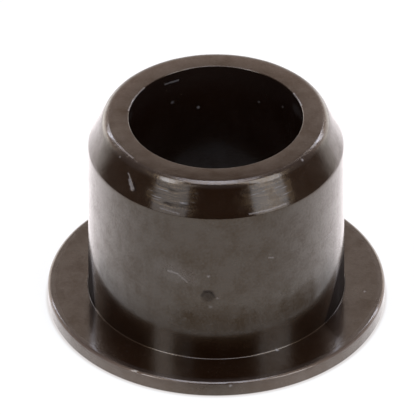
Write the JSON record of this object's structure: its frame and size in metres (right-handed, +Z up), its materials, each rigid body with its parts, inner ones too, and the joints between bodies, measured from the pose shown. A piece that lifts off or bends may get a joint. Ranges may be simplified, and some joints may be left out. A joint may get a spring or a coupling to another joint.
{
  "type": "flanged bushing",
  "caption": "Black moulded sleeve bushing with a thin round flange at its foot, a tapered lead-in at its nose and a plain through bore.",
  "frame": {"origin": "centre of the flange's flat underside, on the bore's axis", "axes": "+Z runs up the bore from the flange to the nose; -Y is the side that carries the small round gate mark"},
  "size_m": [0.0254, 0.0254, 0.0165],
  "materials": {
    "black_nylon": "glossy moulded black nylon with a faint brown cast and light handling scuffs"
  },
  "bodies": {
    "root": {"bushing": "black_nylon"}
  },
  "joints": []
}
